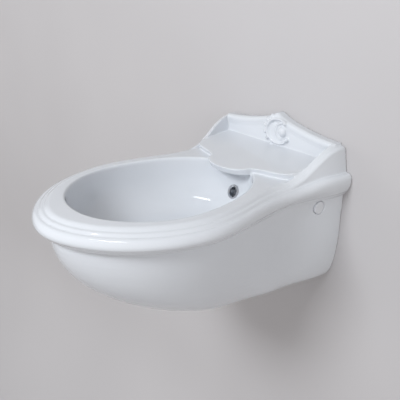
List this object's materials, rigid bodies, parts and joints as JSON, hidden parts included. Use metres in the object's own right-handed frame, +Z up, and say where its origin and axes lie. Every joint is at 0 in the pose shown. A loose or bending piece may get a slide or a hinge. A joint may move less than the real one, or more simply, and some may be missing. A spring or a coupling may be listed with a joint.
{
  "type": "wall-hung bidet",
  "caption": "Wall-hung bidet: white glazed casting with a beaded rim, rising wings and scrolled splash, click waste, compact trap and concealed wall fixings.",
  "frame": {"origin": "midway between the two wall stud holes, on the wall plane", "axes": "+X to the right of someone facing the wall, +Y into the wall, +Z up; the bowl projects along -Y"},
  "size_m": [0.3882, 0.595, 0.3216],
  "materials": {
    "china": "gloss white glaze",
    "chrome": "polished",
    "brass": "machined",
    "rubber": "moulded",
    "trap_plastic": "moulded white",
    "cap_plastic": "gloss white",
    "sleeve_plastic": "moulded",
    "zinc": "zinc plated",
    "spring_steel": "bright wire"
  },
  "bodies": {
    "bidet": {"ceramic_body": "china", "overflow_ring": "chrome", "waste_body": "chrome", "flange_seal": "rubber", "waste_seal": "rubber", "waste_nut": "brass", "plug_spring": "spring_steel", "click_cartridge": "sleeve_plastic", "trap_inlet_nut": "trap_plastic", "trap_inlet_seal": "rubber", "trap_body": "trap_plastic", "trap_cup": "trap_plastic", "trap_cup_seal": "rubber", "outlet_nut": "trap_plastic", "outlet_seal": "rubber", "outlet_pipe": "trap_plastic", "bracket_right": "zinc", "bracket_left": "zinc", "stud_washers": "zinc", "stud_nuts": "zinc", "side_screws": "zinc", "side_sleeve_right": "sleeve_plastic", "side_sleeve_left": "sleeve_plastic", "side_cap_right": "cap_plastic", "side_cap_left": "cap_plastic"},
    "plug": {"waste_plug": "chrome", "plug_seal": "rubber", "plug_stem": "brass"}
  },
  "joints": [
    {"name": "plug_lift", "type": "slide", "parent": "bidet", "child": "plug", "axis": [0, 0, 1], "range_m": [0, 0.008], "deforming": ["plug_spring"]}
  ]
}
